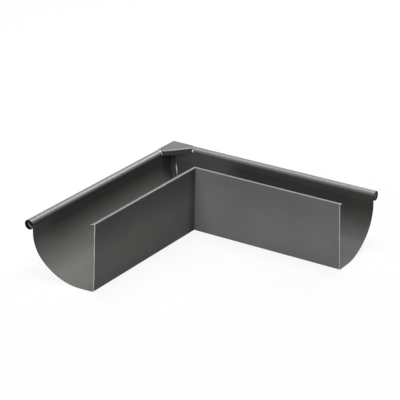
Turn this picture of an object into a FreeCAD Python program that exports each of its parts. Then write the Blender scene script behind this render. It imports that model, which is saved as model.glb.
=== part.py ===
# Outside corner of a roof gutter: two lengths of trough that meet at 90 degrees round
# the corner of a house, each folded from one coated steel sheet, and a pressed cap
# over the meeting point of their beads.
#
# Frame, in millimetres: Z is up and z = 0 is the lowest line of the trough. The corner
# of the house stands on the Z axis. The right arm runs along +X and its trough lies
# towards +Y. The left arm is its mirror image in the mitre plane x = -y, so it runs
# along -Y and its trough lies towards -X.
import FreeCAD, Part
import math
import os

from FreeCAD import Vector

# Sheet
sheet = 0.7                 # thickness of the coated steel
lap_film = 0.1              # sealant between the lap and the sheet under it

# Section of the trough
mouth_width = 125.0         # house side of the back wall's top to the trough side of the front
back_height = 119.0         # lowest line of the trough to the back wall's upper corner line
back_lean = 3.0             # degrees, the back wall's foot stands in under the trough
foot_fold_radius = 3.0      # outside radius between the back wall and the bottom
bottom_rise = 3.0           # degrees, the bottom climbs towards the back wall
bottom_radius = 100.0       # outside radius of the bottom's curve
front_radius = 57.0         # outside radius where the bottom turns up into the front
front_turn = 45.5           # degrees of the front curve
lip_width = 8.5             # water fold along the top of the back wall
lip_slope = 20.0            # degrees, the fold drops towards the trough
lip_fold_radius = 1.5       # outside radius between the fold and the back wall

# Bead rolled outward along the top of the front wall
bead_diameter = 16.5
bead_height = 83.6          # lowest line of the trough to the bead's centre line
bead_roll = 325.0           # degrees that the sheet is rolled through

# Arms
right_length = 272.5        # corner of the house to the end, along the back wall
left_length = 274.6
right_end_skew = 3.0        # degrees out of square, the bead side is the shorter one
left_end_skew = 1.4

# Lap along the mitre: the right arm's sheet turned over onto the left arm's sheet
lap_width = 14.0
lap_fold_width = 1.5        # ridge where the lap leaves the right arm
lap_lip_clearance = 5.0     # below the water fold
lap_bead_clearance = 1.0    # below the start of the bead

# Cap over the beads
cap_left_reach = 48.8       # crossing of the beads' centre lines to the cap's end
cap_right_reach = 43.2
cap_end_slant = 30.0        # degrees, each end is cut back towards the outside
cap_cheek = 8.0             # length over which the flat web rises beside a bead
cap_clearance = 0.1         # between the cap and a bead
cap_sheet = 0.7

# Sizes that follow from those above
bead_radius = bead_diameter / 2
bead_offset = mouth_width + bead_radius
outer_reach = bead_offset + bead_radius
cap_radius = bead_radius + cap_clearance + cap_sheet
room = 20.0                 # by which cutting shapes stand clear of what they cut


class SheetPath:
    """One face of a folded sheet as a chain of tangent lines and arcs in the W-Z plane.

    W runs outward from the house. Offset moves the face to the left of the direction of
    travel, and every radius follows it, so two paths with the same moves stay parallel.
    """

    def __init__(self, start, heading, offset=0.0):
        angle = math.radians(heading)
        self.heading = heading
        self.offset = offset
        self.w = start[0] - offset * math.sin(angle)
        self.z = start[1] + offset * math.cos(angle)
        self.edges = []
        self.first = self.point()

    def point(self):
        return Vector(0, self.w, self.z)

    def line(self, length):
        start = self.point()
        angle = math.radians(self.heading)
        self.w += length * math.cos(angle)
        self.z += length * math.sin(angle)
        self.edges.append(Part.makeLine(start, self.point()))

    def turn(self, radius, degrees):
        """An arc to the left, or to the right where degrees is negative."""
        side = 1 if degrees > 0 else -1
        radius = radius - side * self.offset
        angle = math.radians(self.heading)
        centre_w = self.w - side * radius * math.sin(angle)
        centre_z = self.z + side * radius * math.cos(angle)
        stops = []
        for share in (0.0, 0.5, 1.0):
            along = angle + math.radians(degrees) * share
            stop_w = centre_w + side * radius * math.sin(along)
            stop_z = centre_z - side * radius * math.cos(along)
            stops.append(Vector(0, stop_w, stop_z))
        self.edges.append(Part.Arc(*stops).toShape())
        self.heading += degrees
        self.w = stops[-1].y
        self.z = stops[-1].z


def fold_length(radius, turn):
    """What a fold takes off each of the two straight runs that it joins."""
    return radius * math.tan(math.radians(turn) / 2)


def section_moves():
    """Start point, heading and moves of the outside face, from the water fold to the bead."""
    lean = math.radians(back_lean)
    rise = math.radians(bottom_rise)
    turn = math.radians(front_turn)
    slope = math.radians(lip_slope)

    # Centres of the two curves; the bottom's lowest point is at z = 0
    radius_step = bottom_radius - front_radius
    front_centre_w = mouth_width + sheet - front_radius
    front_centre_z = bottom_radius - radius_step * math.sin(turn)
    bottom_centre_w = front_centre_w - radius_step * math.cos(turn)
    bottom_start_w = bottom_centre_w - bottom_radius * math.sin(rise)
    bottom_start_z = bottom_radius - bottom_radius * math.cos(rise)

    # Corner where the leaning back wall would meet the straight part of the bottom
    foot_w = (back_height - bottom_start_z - bottom_start_w * math.tan(rise)) * math.tan(lean)
    foot_w /= 1 - math.tan(rise) * math.tan(lean)
    foot_z = bottom_start_z + (bottom_start_w - foot_w) * math.tan(rise)
    back_length = (back_height - foot_z) / math.cos(lean)
    bottom_length = (bottom_start_w - foot_w) / math.cos(rise)

    lip_turn = 90 + lip_slope + back_lean
    foot_turn = 90 - back_lean - bottom_rise
    lip_fold = fold_length(lip_fold_radius, lip_turn)
    foot_fold = fold_length(foot_fold_radius, foot_turn)

    start = (lip_width * math.cos(slope), back_height - lip_width * math.sin(slope))
    heading = 180 - lip_slope
    moves = [
        ("line", lip_width - lip_fold),
        ("turn", lip_fold_radius, lip_turn),
        ("line", back_length - lip_fold - foot_fold),
        ("turn", foot_fold_radius, foot_turn),
        ("line", bottom_length - foot_fold),
        ("turn", bottom_radius, 90 + bottom_rise - front_turn),
        ("turn", front_radius, front_turn),
        ("line", bead_height - front_centre_z),
        ("turn", bead_radius - sheet, -bead_roll),
    ]
    return start, heading, moves


def follow(start, heading, moves, offset):
    path = SheetPath(start, heading, offset)
    for move in moves:
        getattr(path, move[0])(*move[1:])
    return path


def band(start, heading, moves, near, far):
    """Face between two parallel paths at the offsets near and far from the outside face."""
    outside = follow(start, heading, moves, near)
    inside = follow(start, heading, moves, far)
    head = Part.makeLine(inside.first, outside.first)
    tail = Part.makeLine(outside.point(), inside.point())
    wire = Part.Wire(Part.__sortEdges__(outside.edges + [tail] + inside.edges + [head]))
    return Part.Face(wire)


def lap_moves():
    """The stretch of the section under the lap, from the back wall to below the bead."""
    start, heading, moves = section_moves()
    fold, back_wall, curves, front_wall = moves[:2], moves[2], moves[3:7], moves[7]
    lead = follow(start, heading, fold, 0.0)
    lead.line(lap_lip_clearance)
    back_rest = ("line", back_wall[1] - lap_lip_clearance)
    front_rest = ("line", front_wall[1] - lap_bead_clearance)
    return (lead.w, lead.z), lead.heading, [back_rest] + curves + [front_rest]


def plan_block(outline, bottom, top):
    """Upright block over a plan outline of (x, y) corners."""
    corners = [Vector(x, y, bottom) for x, y in outline]
    face = Part.Face(Part.makePolygon(corners + corners[:1]))
    return face.extrude(Vector(0, 0, top - bottom))


def cut_across(distance, skew):
    """Plan line of a cut across an arm, from the house outward.

    Distance is along the arm, at the back wall. Skew is in degrees out of square, and
    makes the outer side of the arm the shorter one.
    """
    shift = math.tan(math.radians(skew))
    reach = outer_reach + room
    return [(distance + shift * room, -room), (distance - shift * reach, reach)]


def mitre_cut(distance):
    """Plan line parallel to the mitre of the square corner."""
    return cut_across(distance, 90 / 2)


def along_arm(face, near_cut, far_cut):
    """Sheet over a section, between two cuts across the arm."""
    outline = near_cut + far_cut[::-1]
    ends = [corner[0] for corner in outline]
    raw = face.extrude(Vector(max(ends) - min(ends), 0, 0))
    raw.translate(Vector(min(ends), 0, 0))
    return raw.common(plan_block(outline, -room, back_height + room))


def mirror_arm(shape):
    return shape.mirror(Vector(0, 0, 0), Vector(1, 1, 0))


def one_solid(shape):
    """The single solid of a finished piece."""
    clean = shape.removeSplitter()
    if len(clean.Solids) != 1 or not clean.isValid():
        raise ValueError("a piece is not one valid solid")
    return clean.Solids[0]


def gutter_arm(length, end_skew):
    """One length of trough, cut at the mitre and at its open end."""
    face = band(*section_moves(), 0.0, sheet)
    return along_arm(face, mitre_cut(0.0), cut_across(length, end_skew))


def mitre_lap():
    """The right arm's turned edge: a ridge at the mitre and a strip on the left arm."""
    strip_bottom = sheet + lap_film
    strip_top = strip_bottom + sheet
    ridge_face = band(*lap_moves(), 0.0, strip_top)
    strip_face = band(*lap_moves(), strip_bottom, strip_top)
    ridge = along_arm(ridge_face, mitre_cut(0.0), mitre_cut(lap_fold_width))
    strip = along_arm(strip_face, mitre_cut(0.0), mitre_cut(lap_width))
    return ridge.fuse(mirror_arm(strip))


def gutter_arm_right():
    return one_solid(gutter_arm(right_length, right_end_skew).fuse(mitre_lap()))


def gutter_arm_left():
    return one_solid(mirror_arm(gutter_arm(left_length, left_end_skew)))


def cap_ends():
    """Plan places of the cap's two lower corners, where its skirt meets the beads."""
    side = bead_offset - cap_radius
    left = Vector(-side, bead_offset - cap_left_reach, 0)
    right = Vector(cap_right_reach - bead_offset, side, 0)
    return left, right


def cap_form(inset):
    """Filled form under the cap's outside face, moved inward by inset."""
    radius = cap_radius - inset
    left, right = cap_ends()
    far = outer_reach + room

    # Rounds over the two beads, joined in the mitre plane
    centre = Vector(-far, bead_offset, bead_height)
    disc = Part.Face(Part.Wire(Part.makeCircle(radius, centre, Vector(1, 0, 0))))
    mitre_side = [(0, 0), (-far, far), (far, far)]
    over_right = disc.extrude(Vector(2 * far, 0, 0))
    over_right = over_right.common(plan_block(mitre_side, 0, back_height))
    rounds = over_right.fuse(mirror_arm(over_right))

    # Web between the beads, level with their tops; its short sides run up to each bead
    left_side = left + Vector(-cap_radius, cap_cheek, 0) * 3
    right_side = right + Vector(-cap_cheek, cap_radius, 0) * 3
    corners = [left, right, right_side, Vector(-far, far, 0), left_side]
    wire = Part.makePolygon(corners + corners[:1])
    if inset:
        wire = wire.makeOffset2D(-inset, join=2)
    wire.translate(Vector(0, 0, bead_height - inset))
    web = Part.Face(wire).extrude(Vector(0, 0, radius + inset))
    between = [(-bead_offset, bead_offset), (-bead_offset, -far), (far, -far), (far, bead_offset)]
    return rounds.fuse(web.common(plan_block(between, 0, back_height)))


def bead_corner_cap():
    """Pressed cap: rounded over both beads, flat between them, with a skirt to the trough."""
    left, right = cap_ends()
    far = outer_reach + room
    back = far * math.tan(math.radians(cap_end_slant))
    outline = [
        (left.x, left.y),
        (right.x, right.y),
        (right.x - back, right.y + far),
        (-far, far),
        (left.x - far, left.y + back),
    ]
    shell = cap_form(0.0).cut(cap_form(cap_sheet))
    return one_solid(shell.common(plan_block(outline, bead_height, back_height)))


def build():
    pieces = {
        "gutter_arm_right": gutter_arm_right(),
        "gutter_arm_left": gutter_arm_left(),
        "bead_corner_cap": bead_corner_cap(),
    }
    os.makedirs("parts", exist_ok=True)
    for name, shape in pieces.items():
        shape.exportStep(os.path.join("parts", name + ".step"))
        print(name, round(shape.Volume), "mm3", shape.BoundBox)


build()
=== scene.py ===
"""Outside corner of a roof gutter: coated steel finishes, pale floor, soft light and camera."""
import math
from dataclasses import dataclass

import bmesh
import bpy
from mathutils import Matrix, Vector

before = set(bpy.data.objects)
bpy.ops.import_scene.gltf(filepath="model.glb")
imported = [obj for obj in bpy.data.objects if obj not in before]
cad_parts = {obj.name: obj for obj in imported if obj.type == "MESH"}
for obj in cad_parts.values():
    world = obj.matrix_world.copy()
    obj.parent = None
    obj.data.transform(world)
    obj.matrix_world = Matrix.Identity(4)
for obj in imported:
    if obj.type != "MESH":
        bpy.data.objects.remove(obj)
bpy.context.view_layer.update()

# Lengths are in metres and angles in degrees. Out is from the back wall to the front, and
# along is from the corner of the house to an arm's open end.
upward = Vector((0.0, 0.0, 1.0))

# Camera, as the photograph was taken
camera_place = Vector((1.49056, -2.22503, 1.21040))
camera_turn = 33.652            # from looking along +Y towards -X
camera_down = 23.234            # below the horizon
camera_lens = 158.3             # mm, as is the sensor's width
camera_sensor = 36.0
camera_sight = 100.0            # it sees nothing further off than this

# Square lamps, all aimed at the gutter from one distance: round from +X, up, side, watts
lamp_aim = Vector((-0.02, -0.02, 0.05))
lamp_distance = 3.0
lamps = {
    "overhead": (90.0, 84.0, 1.4, 114.0),
    "behind": (95.0, 42.0, 1.2, 67.0),
    "left": (170.0, 62.0, 1.4, 58.0),
    "front": (270.0, 16.0, 0.6, 38.0),
    "high_front": (297.0, 42.0, 1.2, 25.0),
    "low_right": (335.0, 6.0, 0.6, 11.0),
}

# Floor
floor_reach = 12.0              # from its middle to each side
floor_drop = 0.0005             # below the gutter's lowest line
floor_glow = 0.9                # share of its white that takes no shadow

# Sizes of the gutter
trough_width = 0.125            # back wall to the inside of the front
trough_heart = 0.062            # the section's middle, on no sheet, is this far out and up
wall_edge = 0.0095              # the back wall and its water fold reach out less than this
fold_slope = 20.0               # the water fold drops this much towards the trough
fold_bottom = 0.112             # the whole fold lies above this
bead_out = 0.13325              # centre line of the bead
bead_up = 0.0836
bead_bore = 0.0079              # the bead's hollow inside lies this near to that line
bead_start = 0.1262             # of an arm, only the bead lies further out than this
end_depth = 0.015               # an arm's slanting cut end lies in this last stretch of it
cap_left = Vector((-0.12420, 0.08445, 0.0))     # lower corners of the cap's skirt, in plan
cap_right = Vector((-0.09005, 0.12420, 0.0))
cap_top = 0.09265
cap_end_slant = 30.0            # the cap's ends are cut back this much
across_mitre = Vector((1.0, 1.0, 0.0)).normalized()
out_of_both = Vector((-1.0, 1.0, 0.0))          # adds up how far out of both arms a point is

# Clear top layer of the coating: its weight on each part, and where it changes
gloss_inside = 0.075
gloss_outside = 0.02
gloss_fold = 0.56
gloss_cap = 0.70
gloss_roughness = 0.38
gloss_run = 0.0012              # it comes in over this length
bead_far = 0.1390               # out here the bead's gloss has dropped to its far share
far_share = 0.65
flat_share = 0.15               # of the fold's gloss, on the fold's flat top

# Fine structure of the coating; noise is in patches per metre, with its steps of detail
clouds = (14.0, 5.0)
sheens = (60.0, 4.0)
specks = (420.0, 3.0)
ripple_detail = 2.0
noise_span = (0.3, 0.7)         # noise between these is spread from end to end
speck_span = (0.35, 0.65)
cloudiness = 0.05               # share by which the tone strays either way
sheen_roughness = 0.45
sheen_spread = 0.03
ripple_size = 0.0016
ripple_height = 0.000006

# Marks on the coating, with painted light and shade among them
fold_start = 0.1174             # the water fold has its own tone and gloss above this
fold_tone = 0.85                # share of the outside's tone
fold_shade_low = 0.050             # painted shade under the fold deepens between these heights
fold_shade_high = 0.118
curve_shade_band = (0.022, 0.058, 0.012)      # lower height, upper height and softness of a band of painted shade on the front's trough side
# painted shade just under the bead
bead_shade_band = (0.0838, 0.0872, 0.0012)
ridge_width = 0.0019            # painted highlight: bright line where the arms meet, in front
ridge_bright = 0.049            # height at which it is brightest
ridge_fade = 0.010              # it fades over this, down to the first share and up to the second
ridge_under = 0.25
ridge_over = 0.12
mark_reach = 0.1375             # the pale mark beside the cap shows no further out than this
mark_soft = 0.0006
mark_broken = 0.1               # share of it that is missing
throat_soft = 0.0015            # light inside a bead comes in and goes out over this
end_band_width = 0.0011             # last stretch of a wall, paler along its cut edge
crease_highlight_half = 0.0011          # painted highlight either side of the crease between the cap's top and skirt
line_soft = 0.0003              # a strip's edge, and the share of it that is missing
line_broken = 0.3

# A mask comes in between these cosines of the angle between a face and a direction
cut_facing = (0.93, 0.97)
flat_facing = (0.93, 0.99)

# Colours
coat_inside = (0.072, 0.072, 0.0685, 1.0)
# painted light: the lap past the mitre shown lighter than the wall it lies on
lap_painted_light = (0.145, 0.145, 0.142, 1.0)
coat_cap = (0.058, 0.058, 0.0555, 1.0)
# painted highlight along the cap's crease, and a paler band at the right arm's open end
crease_highlight_and_end_band = (0.42, 0.42, 0.41, 1.0)
# painted highlight on the mitre's ridge, and the pale mark beside the cap's right end
pale_highlight_and_mark = (0.80, 0.80, 0.79, 1.0)
dull_mark = (0.29, 0.29, 0.285, 1.0)
# painted shade on the cut faces away from the back wall
cut_painted_shade = (0.02, 0.02, 0.02, 1.0)
# painted shade inside a bead's hollow, and painted light where light comes into it
throat_painted_shade = (0.012, 0.012, 0.012, 1.0)
throat_painted_light = (0.34, 0.34, 0.335, 1.0)
cut_steel = (0.80, 0.80, 0.79, 1.0)
pale_floor = (0.20, 0.20, 0.20, 1.0)    # as the gutter is lit by it
white_floor = (0.40, 0.40, 0.40, 1.0)   # as the camera sees it, below the glow
white = (1.0, 1.0, 1.0, 1.0)


@dataclass
class Arm:
    """What the finish of one arm needs to know about it."""
    finish: str             # name of its material
    outward: Vector
    along: Vector
    length: float
    end_skew: float         # its open end is this much out of square
    outside: tuple          # colour of the sides away from the trough
    painted_shade_coat: tuple         # colour of the bands of painted shade on the trough's side of its front
    painted_shade_bands: tuple
    under_fold: float       # share of the outside's tone under the fold, as painted shade
    in_corner: float        # and beside the corner of the house: painted shade below one, painted light above one
    corner_run: float       # over which that one changes
    bead_gloss: float
    gloss_start: float      # the bead's gloss comes in this far out
    lit_start: float        # painted light on the bead's inside between these, along the arm
    lit_end: float
    cap_corner: Vector      # the cap's corner at which the mark starts
    mark_width: float
    mark_low: float
    mark_high: float
    mark_colour: tuple
    lapped: bool            # its mitred edge is turned over onto the other arm
    pale_end_band: bool            # its wall has a paler band along the cut edge at the open end

    def section(self, out, up):
        """Point of the arm's section, or a way in it."""
        return self.outward * out + upward * up

    @property
    def across(self):
        """Factors that drop what lies along the arm and keep the rest."""
        return Vector((abs(self.outward.x), abs(self.outward.y), 1.0))

    @property
    def heart(self):
        return self.section(trough_heart, trough_heart)

    @property
    def bead_line(self):
        return self.section(bead_out, bead_up)

    @property
    def fold_top(self):
        """Way that the flat top of the water fold faces."""
        slope = math.radians(fold_slope)
        return self.section(math.sin(slope), math.cos(slope))

    @property
    def fold_edge(self):
        """Way that the cut edge of the water fold faces."""
        slope = math.radians(fold_slope)
        return self.section(math.cos(slope), -math.sin(slope))

    @property
    def open_end(self):
        """Way that the cut face of the open end faces."""
        skew = math.radians(self.end_skew)
        return self.along * math.cos(skew) + self.outward * math.sin(skew)

    @property
    def off_cap(self):
        """Way along the bead that leads square off the cap's slanting end."""
        slant = math.radians(cap_end_slant)
        return self.along * math.cos(slant) + self.outward * math.sin(slant)


right_arm = Arm(
    finish="graphite_coat_right_arm",
    outward=Vector((0.0, 1.0, 0.0)),
    along=Vector((1.0, 0.0, 0.0)),
    length=0.2725,
    end_skew=3.0,
    outside=(0.148, 0.148, 0.148, 1.0),
    painted_shade_coat=(0.0576, 0.0576, 0.0548, 1.0),
    painted_shade_bands=(curve_shade_band, bead_shade_band),
    under_fold=0.88,
    # painted light beside the corner, brightening it
    in_corner=1.14,
    corner_run=0.080,
    bead_gloss=0.80,
    gloss_start=0.1250,
    lit_start=0.2598,
    lit_end=0.2622,
    cap_corner=cap_right,
    mark_width=0.0018,
    mark_low=0.0850,
    mark_high=0.0882,
    mark_colour=pale_highlight_and_mark,
    lapped=True,
    pale_end_band=True,
)
left_arm = Arm(
    finish="graphite_coat_left_arm",
    outward=Vector((-1.0, 0.0, 0.0)),
    along=Vector((0.0, -1.0, 0.0)),
    length=0.2746,
    end_skew=1.4,
    outside=(0.152, 0.152, 0.147, 1.0),
    painted_shade_coat=(0.0430, 0.0430, 0.0410, 1.0),
    painted_shade_bands=(bead_shade_band,),
    under_fold=0.60,
    # painted shade beside the corner, darkening it
    in_corner=0.62,
    corner_run=0.020,
    bead_gloss=0.72,
    gloss_start=0.1259,
    lit_start=0.2612,
    lit_end=0.2646,
    cap_corner=cap_left,
    mark_width=0.0022,
    mark_low=0.0860,
    mark_high=0.0935,
    mark_colour=dull_mark,
    lapped=False,
    pale_end_band=False,
)


class Board:
    """A node tree, with short calls that add a node and join its sockets."""

    column_width = 190
    mix_inputs = (6, 7)     # a Mix node's own numbers for the two colours
    mix_output = 2          # and for the one between them

    def __init__(self, tree):
        self.tree = tree
        self.tree.nodes.clear()
        self.columns = 0

    def add(self, kind, inputs=None, **settings):
        node = self.tree.nodes.new(kind)
        node.location = (self.columns * self.column_width, 0)
        self.columns += 1
        for name, value in settings.items():
            setattr(node, name, value)
        for socket, value in (inputs or {}).items():
            self.feed(node, socket, value)
        return node

    def feed(self, node, socket, value):
        if isinstance(value, bpy.types.NodeSocket):
            self.tree.links.new(value, node.inputs[socket])
        else:
            node.inputs[socket].default_value = value

    def maths(self, operation, *values):
        node = self.add("ShaderNodeMath", dict(enumerate(values)), operation=operation)
        return node.outputs["Value"]

    def product(self, first, *others):
        for other in others:
            first = self.maths("MULTIPLY", first, other)
        return first

    def vectors(self, operation, *values):
        node = self.add("ShaderNodeVectorMath", dict(enumerate(values)), operation=operation)
        return node.outputs["Vector"]

    def dot(self, *values):
        inputs = dict(enumerate(values))
        node = self.add("ShaderNodeVectorMath", inputs, operation="DOT_PRODUCT")
        return node.outputs["Value"]

    def scaled(self, colour, gain):
        inputs = {0: colour, "Scale": gain}
        return self.add("ShaderNodeVectorMath", inputs, operation="SCALE").outputs["Vector"]

    def ramp(self, value, low, high, to_low=0.0, to_high=1.0):
        """Value mapped smoothly from low..high to to_low..to_high, and held there beyond."""
        node = self.add("ShaderNodeMapRange", {
            "Value": value, "From Min": low, "From Max": high,
            "To Min": to_low, "To Max": to_high,
        }, interpolation_type="SMOOTHSTEP")
        return node.outputs["Result"]

    def between(self, value, start, end, soft):
        """Mask of the values from start to end, which comes in and goes out over soft."""
        rise = self.ramp(value, self.maths("SUBTRACT", start, soft), start)
        fall = self.ramp(value, end, self.maths("ADD", end, soft), 1.0, 0.0)
        return self.product(rise, fall)

    def blend(self, factor, first, second):
        """Colour between two others."""
        node = self.add("ShaderNodeMix", data_type="RGBA")
        self.feed(node, "Factor", factor)
        for socket, colour in zip(self.mix_inputs, (first, second)):
            self.feed(node, socket, colour)
        return node.outputs[self.mix_output]

    def noise(self, place, scale, detail):
        inputs = {"Vector": place, "Scale": scale, "Detail": detail}
        return self.add("ShaderNodeTexNoise", inputs).outputs["Fac"]

    def place(self):
        """Point of the surface, in the part's own coordinates."""
        return self.add("ShaderNodeTexCoord").outputs["Object"]

    def facing(self):
        """Direction that the surface looks in."""
        return self.add("ShaderNodeNewGeometry").outputs["True Normal"]

    def off_line(self, place, line, across):
        """Shortest way to a place from a line along an arm."""
        return self.vectors("MULTIPLY", self.vectors("SUBTRACT", place, line), across)

    def effect(self, tree, inputs):
        node = self.add("ShaderNodeGroup", node_tree=tree)
        for socket, value in inputs.items():
            self.feed(node, socket, value)
        return node.outputs


class Effect(Board):
    """A shader node group that several finishes share; its sockets' kinds follow their values."""

    def __init__(self, name, inputs, outputs):
        super().__init__(bpy.data.node_groups.new(name, "ShaderNodeTree"))
        for socket, value in inputs.items():
            self.make_socket(socket, "INPUT", value).default_value = value
        for socket, value in outputs.items():
            self.make_socket(socket, "OUTPUT", value)
        self.given = self.add("NodeGroupInput").outputs
        self.result = self.add("NodeGroupOutput")

    def make_socket(self, name, side, value):
        if isinstance(value, float):
            kind = "NodeSocketFloat"
        else:
            kind = "NodeSocketColor" if len(value) == len(white) else "NodeSocketVector"
        return self.tree.interface.new_socket(name, in_out=side, socket_type=kind)

    def put_out(self, values):
        for socket, value in values.items():
            self.feed(self.result, socket, value)
        return self.tree


def make_coat_skin():
    """Baked coating: cloudy tone, uneven sheen and the shallow ripple that it dries with."""
    board = Effect(
        "coat_skin",
        inputs={
            "Colour": coat_inside,
            "Cloudiness": cloudiness,
            "Roughness": sheen_roughness,
            "Sheen Spread": sheen_spread,
            "Ripple Size": ripple_size,
            "Ripple Height": ripple_height,
        },
        outputs={"Colour": coat_inside, "Roughness": sheen_roughness, "Normal": upward},
    )
    given = board.given
    place = board.place()
    tone = board.ramp(board.noise(place, *clouds), *noise_span, -1.0, 1.0)
    gain = board.maths("MULTIPLY_ADD", tone, given["Cloudiness"], 1.0)
    spread = board.ramp(board.noise(place, *sheens), *noise_span, -1.0, 1.0)
    ripple = board.noise(place, board.maths("DIVIDE", 1.0, given["Ripple Size"]), ripple_detail)
    bump = board.add("ShaderNodeBump", {
        "Strength": 1.0, "Distance": given["Ripple Height"], "Height": ripple,
    })
    return board.put_out({
        "Colour": board.scaled(given["Colour"], gain),
        "Roughness": board.maths(
            "MULTIPLY_ADD", spread, given["Sheen Spread"], given["Roughness"]),
        "Normal": bump.outputs["Normal"],
    })


def make_sheet_sides():
    """Masks of an arm's side away from the trough, of its bead's gloss and its fold's gloss."""
    board = Effect(
        "sheet_sides",
        inputs={
            "Across": right_arm.across,
            "Outward": right_arm.outward,
            "Heart": right_arm.heart,
            "Gloss Start": right_arm.gloss_start,
            "Fold Top": right_arm.fold_top,
        },
        outputs={"Outer Side": 0.0, "Bead": 0.0, "Fold": 0.0},
    )
    given = board.given
    place = board.place()
    facing = board.facing()
    reach = board.dot(place, given["Outward"])
    height = board.dot(place, upward)
    from_heart = board.off_line(place, given["Heart"], given["Across"])
    away = board.maths("GREATER_THAN", board.dot(from_heart, facing), 0.0)
    not_bead = board.maths("LESS_THAN", reach, bead_start)
    gloss_full = board.maths("ADD", given["Gloss Start"], gloss_run)
    near = board.ramp(reach, given["Gloss Start"], gloss_full)
    far = board.ramp(reach, bead_out, bead_far, 1.0, far_share)
    fold = board.ramp(height, fold_start, fold_start + gloss_run)
    flat = board.ramp(board.dot(facing, given["Fold Top"]), *flat_facing, 1.0, flat_share)
    return board.put_out({
        "Outer Side": board.product(away, not_bead),
        "Bead": board.product(near, far),
        "Fold": board.product(fold, flat),
    })


def make_wall_painted_shade_light():
    """Tone of a back wall's coating: painted shade under the fold, painted shade (below one) or
    painted light (above one) towards the corner, and the fold's own tone above.
    """
    board = Effect(
        "wall_painted_shade_light",
        inputs={
            "Along": right_arm.along,
            "Under Fold": right_arm.under_fold,
            "In Corner": right_arm.in_corner,
            "Corner Run": right_arm.corner_run,
        },
        outputs={"Tone": 1.0},
    )
    given = board.given
    place = board.place()
    height = board.dot(place, upward)
    under = board.ramp(height, fold_shade_low, fold_shade_high, 1.0, given["Under Fold"])
    along = board.dot(place, given["Along"])
    corner = board.ramp(along, 0.0, given["Corner Run"], given["In Corner"], 1.0)
    below_fold = board.maths("LESS_THAN", height, fold_start)
    change = board.maths("SUBTRACT", board.product(under, corner), fold_tone)
    return board.put_out({
        "Tone": board.maths("MULTIPLY_ADD", change, below_fold, fold_tone),
    })


def make_bead_throat():
    """Masks of a bead's hollow inside, painted as shade, and of the stretch of it painted as lit.
    """
    board = Effect(
        "bead_throat",
        inputs={
            "Across": right_arm.across,
            "Bead Line": right_arm.bead_line,
            "Along": right_arm.along,
            "Lit Start": right_arm.lit_start,
            "Lit End": right_arm.lit_end,
        },
        outputs={"Inside": 0.0, "Lit": 0.0},
    )
    given = board.given
    place = board.place()
    from_bead = board.off_line(place, given["Bead Line"], given["Across"])
    inside = board.maths("LESS_THAN", board.dot(from_bead, from_bead), bead_bore ** 2)
    along = board.dot(place, given["Along"])
    lit = board.between(along, given["Lit Start"], given["Lit End"], throat_soft)
    return board.put_out({"Inside": inside, "Lit": board.product(inside, lit)})


def make_cut_face():
    """Mask of the sheet's cut faces: they look one way and lie past a line on the part."""
    board = Effect(
        "cut_face",
        inputs={"Facing": right_arm.open_end, "Towards": right_arm.along, "Past": 0.0},
        outputs={"Mask": 0.0},
    )
    given = board.given
    turned = board.ramp(board.dot(board.facing(), given["Facing"]), *cut_facing)
    distance = board.dot(board.place(), given["Towards"])
    beyond = board.maths("GREATER_THAN", distance, given["Past"])
    return board.put_out({"Mask": board.product(turned, beyond)})


def make_broken_strip():
    """Mask of a narrow strip between two parallel planes, broken up by speckle."""
    board = Effect(
        "broken_strip",
        inputs={
            "Towards": right_arm.along,
            "Start": 0.0,
            "End": crease_highlight_half,
            "Soft": line_soft,
            "Broken": line_broken,
        },
        outputs={"Mask": 0.0},
    )
    given = board.given
    place = board.place()
    distance = board.dot(place, given["Towards"])
    strip = board.between(distance, given["Start"], given["End"], given["Soft"])
    speckle = board.ramp(board.noise(place, *specks), *speck_span)
    whole = board.maths("SUBTRACT", 1.0, board.product(speckle, given["Broken"]))
    return board.put_out({"Mask": board.product(strip, whole)})


coat_skin = make_coat_skin()
sheet_sides = make_sheet_sides()
wall_painted_shade_light = make_wall_painted_shade_light()
bead_throat = make_bead_throat()
cut_face = make_cut_face()
broken_strip = make_broken_strip()


def start_finish(name):
    material = bpy.data.materials.new(name)
    material.use_nodes = True
    return material, Board(material.node_tree)


def lay_coat(board, colour, gloss, bare=None):
    """Coated steel's shader. Gloss is its clear top layer's weight, bare the mask of steel."""
    skin = board.effect(coat_skin, {
        "Colour": colour,
        "Cloudiness": cloudiness,
        "Roughness": sheen_roughness,
        "Sheen Spread": sheen_spread,
        "Ripple Size": ripple_size,
        "Ripple Height": ripple_height,
    })
    shown = skin["Colour"]
    if bare is not None:
        shown = board.blend(bare, shown, cut_steel)
    shader = board.add("ShaderNodeBsdfPrincipled", {
        "Base Color": shown,
        "Roughness": skin["Roughness"],
        "Normal": skin["Normal"],
        "Specular IOR Level": 0.0,
        "Coat Weight": gloss,
        "Coat Roughness": gloss_roughness,
    })
    board.add("ShaderNodeOutputMaterial", {"Surface": shader.outputs["BSDF"]})


def strip_mask(board, towards, start, end, soft=line_soft, broken=line_broken):
    """Mask of a strip from start to end, measured towards one side."""
    return board.effect(broken_strip, {
        "Towards": towards, "Start": start, "End": end, "Soft": soft, "Broken": broken,
    })["Mask"]


def inside_coat(board, arm, reach):
    """Colour of an arm's trough side, with bands of painted shade on its front."""
    front = board.product(
        board.maths("GREATER_THAN", reach, trough_heart),
        board.maths("LESS_THAN", reach, bead_out),
    )
    colour = coat_inside
    for low, high, soft in arm.painted_shade_bands:
        # each band darkens the front as painted shade
        band = strip_mask(board, upward, low, high, soft, broken=0.0)
        colour = board.blend(board.product(band, front), colour, arm.painted_shade_coat)
    return colour


def wall_coat(board, arm):
    """Colour of the house's side of an arm's back wall and water fold, with painted shade under
    the fold, and by the corner painted shade on the left arm and painted light on the right.
    """
    tone = board.effect(wall_painted_shade_light, {
        "Along": arm.along,
        "Under Fold": arm.under_fold,
        "In Corner": arm.in_corner,
        "Corner Run": arm.corner_run,
    })["Tone"]
    return board.scaled(arm.outside[:3], tone)


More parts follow.
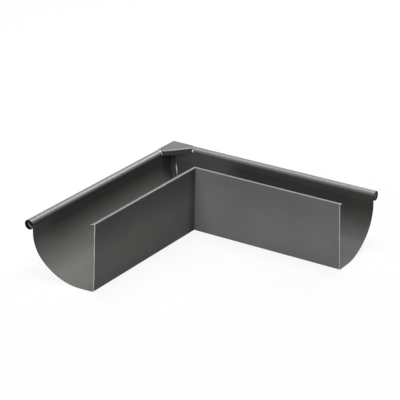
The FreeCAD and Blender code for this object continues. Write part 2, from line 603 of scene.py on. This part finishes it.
def ridge_highlight(board, place):
    """Mask of the painted highlight down the front of the mitre, where one arm folds over."""
    line = strip_mask(board, across_mitre, -ridge_width / 2, ridge_width / 2, broken=0.0)
    height = board.dot(place, upward)
    under = board.ramp(height, ridge_bright - ridge_fade, ridge_bright, ridge_under, 1.0)
    over = board.ramp(height, ridge_bright, ridge_bright + ridge_fade, 1.0, ridge_over)
    in_front = board.maths("GREATER_THAN", board.dot(place, out_of_both), trough_width)
    return board.product(board.maths("MINIMUM", under, over), line, in_front)


def lay_lap(board, place, outer_side, colour):
    """Colour with painted light on the lap past the mitre, and the ridge's painted highlight at
    its start.
    """
    inner_side = board.maths("SUBTRACT", 1.0, outer_side)
    past_mitre = board.maths("GREATER_THAN", board.dot(place, -across_mitre), ridge_width / 2)
    colour = board.blend(board.product(inner_side, past_mitre), colour, lap_painted_light)
    return board.blend(board.product(inner_side, ridge_highlight(board, place)), colour, pale_highlight_and_mark)


def cap_end_mark(board, arm, reach):
    """Mask of a pale mark on an arm's bead, beside the end of the cap."""
    start = arm.off_cap.dot(arm.cap_corner)
    line = strip_mask(board, arm.off_cap, start, start + arm.mark_width, broken=mark_broken)
    level = strip_mask(board, upward, arm.mark_low, arm.mark_high, mark_soft, broken=0.0)
    trough_side = board.maths("LESS_THAN", reach, mark_reach)
    return board.product(line, level, trough_side)


def cut_faces(board, arm):
    """Mask of an arm's cut faces, at its open end and along the edge of its water fold."""
    end = board.effect(cut_face, {
        "Facing": arm.open_end, "Towards": arm.along, "Past": arm.length - end_depth,
    })
    edge = board.effect(cut_face, {
        "Facing": arm.fold_edge, "Towards": upward, "Past": fold_bottom,
    })
    return board.maths("MAXIMUM", end["Mask"], edge["Mask"])


def arm_gloss(board, arm, sides, in_throat):
    """Weight of the clear top layer: most on the bead and the fold, none inside the bead."""
    outside_change = gloss_outside - gloss_inside
    plain = board.maths("MULTIPLY_ADD", sides["Outer Side"], outside_change, gloss_inside)
    bead = board.product(sides["Bead"], arm.bead_gloss)
    fold = board.product(sides["Fold"], gloss_fold)
    most = board.maths("MAXIMUM", plain, board.maths("MAXIMUM", bead, fold))
    return board.product(most, board.maths("SUBTRACT", 1.0, in_throat))


def arm_finish(arm):
    """Finish of one arm: dark inside, paler outside, a glossier bead, bright cut faces on the
    back wall, and painted light and shade as marked.
    """
    material, board = start_finish(arm.finish)
    place = board.place()
    reach = board.dot(place, arm.outward)
    in_wall = board.maths("LESS_THAN", reach, wall_edge)
    sides = board.effect(sheet_sides, {
        "Across": arm.across,
        "Outward": arm.outward,
        "Heart": arm.heart,
        "Gloss Start": arm.gloss_start,
        "Fold Top": arm.fold_top,
    })
    throat = board.effect(bead_throat, {
        "Across": arm.across,
        "Bead Line": arm.bead_line,
        "Along": arm.along,
        "Lit Start": arm.lit_start,
        "Lit End": arm.lit_end,
    })
    cut = cut_faces(board, arm)

    outer_side = sides["Outer Side"]
    colour = board.blend(outer_side, inside_coat(board, arm, reach), arm.outside)
    colour = board.blend(board.product(outer_side, in_wall), colour, wall_coat(board, arm))
    if arm.lapped:
        colour = lay_lap(board, place, outer_side, colour)
    colour = board.blend(cap_end_mark(board, arm, reach), colour, arm.mark_colour)
    # painted shade inside the bead's hollow, with painted light near its open end
    colour = board.blend(throat["Inside"], colour, throat_painted_shade)
    colour = board.blend(throat["Lit"], colour, throat_painted_light)
    # paler band along the cut edge at the open end
    if arm.pale_end_band:
        along = board.dot(place, arm.along)
        at_end = board.maths("GREATER_THAN", along, arm.length - end_band_width)
        colour = board.blend(board.product(at_end, in_wall), colour, crease_highlight_and_end_band)
    # cut faces off the back wall are painted dark as shade; on the wall they show bare steel
    colour = board.blend(cut, colour, cut_painted_shade)
    gloss = arm_gloss(board, arm, sides, throat["Inside"])
    lay_coat(board, colour, gloss, bare=board.product(cut, in_wall))
    return material


def cap_finish():
    """Finish of the cap: glossy, with a painted highlight where its top turns down into the
    skirt.
    """
    material, board = start_finish("graphite_coat_cap")
    chord = cap_right - cap_left
    off_skirt = Vector((chord.y, -chord.x, 0.0)).normalized()
    skirt = off_skirt.dot(cap_left)
    near_skirt = strip_mask(board, off_skirt, skirt - crease_highlight_half, skirt + crease_highlight_half)
    near_top = strip_mask(board, upward, cap_top - crease_highlight_half, cap_top + crease_highlight_half)
    # painted highlight along the crease
    colour = board.blend(board.product(near_skirt, near_top), coat_cap, crease_highlight_and_end_band)
    lay_coat(board, colour, gloss_cap)
    return material


def finish_gutter():
    """Coating for the two arms and the cap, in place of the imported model's plain colour."""
    finishes = {
        "gutter_arm_right": arm_finish(right_arm),
        "gutter_arm_left": arm_finish(left_arm),
        "bead_corner_cap": cap_finish(),
    }
    for node, material in finishes.items():
        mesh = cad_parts[node].data
        mesh.materials.clear()
        mesh.materials.append(material)


def white_rays(board):
    """Light paths that see the white backdrop: the camera's, and those in gloss and glass."""
    rays = board.add("ShaderNodeLightPath").outputs
    seen = board.maths("MAXIMUM", rays["Is Camera Ray"], rays["Is Glossy Ray"])
    return board.maths("MAXIMUM", seen, rays["Is Transmission Ray"])


def make_floor():
    """Pale floor that the camera and the gutter's gloss see as white, with a faint shadow."""
    mesh = bpy.data.meshes.new("floor")
    form = bmesh.new()
    bmesh.ops.create_grid(form, x_segments=1, y_segments=1, size=floor_reach)
    form.to_mesh(mesh)
    form.free()
    floor = bpy.data.objects.new("floor", mesh)
    floor.location.z = -floor_drop
    bpy.context.scene.collection.objects.link(floor)
    material, board = start_finish("pale_floor")
    camera_ray = board.add("ShaderNodeLightPath").outputs["Is Camera Ray"]
    cloth = board.add("ShaderNodeBsdfDiffuse", {
        "Color": board.blend(camera_ray, pale_floor, white_floor),
    })
    glow = board.add("ShaderNodeEmission", {"Color": white, "Strength": 1.0})
    mixed = board.add("ShaderNodeMixShader", {
        "Fac": board.product(white_rays(board), floor_glow),
        1: cloth.outputs["BSDF"],
        2: glow.outputs["Emission"],
    })
    board.add("ShaderNodeOutputMaterial", {"Surface": mixed.outputs["Shader"]})
    mesh.materials.append(material)


def make_world():
    """Backdrop that the camera and the gutter's gloss see as white, and that lights nothing."""
    world = bpy.data.worlds.new("studio")
    bpy.context.scene.world = world
    world.use_nodes = True
    board = Board(world.node_tree)
    unlit = board.add("ShaderNodeBackground", {"Color": white, "Strength": 0.0})
    backdrop = board.add("ShaderNodeBackground", {"Color": white, "Strength": 1.0})
    mixed = board.add("ShaderNodeMixShader", {
        "Fac": white_rays(board),
        1: unlit.outputs["Background"],
        2: backdrop.outputs["Background"],
    })
    board.add("ShaderNodeOutputWorld", {"Surface": mixed.outputs["Shader"]})


def heading(turn, height):
    """Direction that is turned round from +X and raised from level."""
    turn, height = math.radians(turn), math.radians(height)
    level = math.cos(height)
    return Vector((level * math.cos(turn), level * math.sin(turn), math.sin(height)))


def set_up(thing, place, ahead):
    """Stands a lamp or the camera at a place, looking ahead."""
    thing.location = place
    thing.rotation_mode = "QUATERNION"
    thing.rotation_quaternion = ahead.to_track_quat("-Z", "Y")
    bpy.context.scene.collection.objects.link(thing)


def make_lamps():
    for name, (turn, height, side, power) in lamps.items():
        lamp = bpy.data.lights.new(name, "AREA")
        lamp.shape = "SQUARE"
        lamp.size = side
        lamp.energy = power
        way = heading(turn, height)
        set_up(bpy.data.objects.new(name, lamp), lamp_aim + way * lamp_distance, -way)


def make_camera():
    lens = bpy.data.cameras.new("camera")
    lens.lens = camera_lens
    lens.sensor_width = camera_sensor
    lens.clip_end = camera_sight
    camera = bpy.data.objects.new("camera", lens)
    set_up(camera, camera_place, heading(90.0 + camera_turn, -camera_down))
    bpy.context.scene.camera = camera


finish_gutter()
make_floor()
make_world()
make_lamps()
make_camera()
bpy.context.scene.view_settings.view_transform = "Standard"
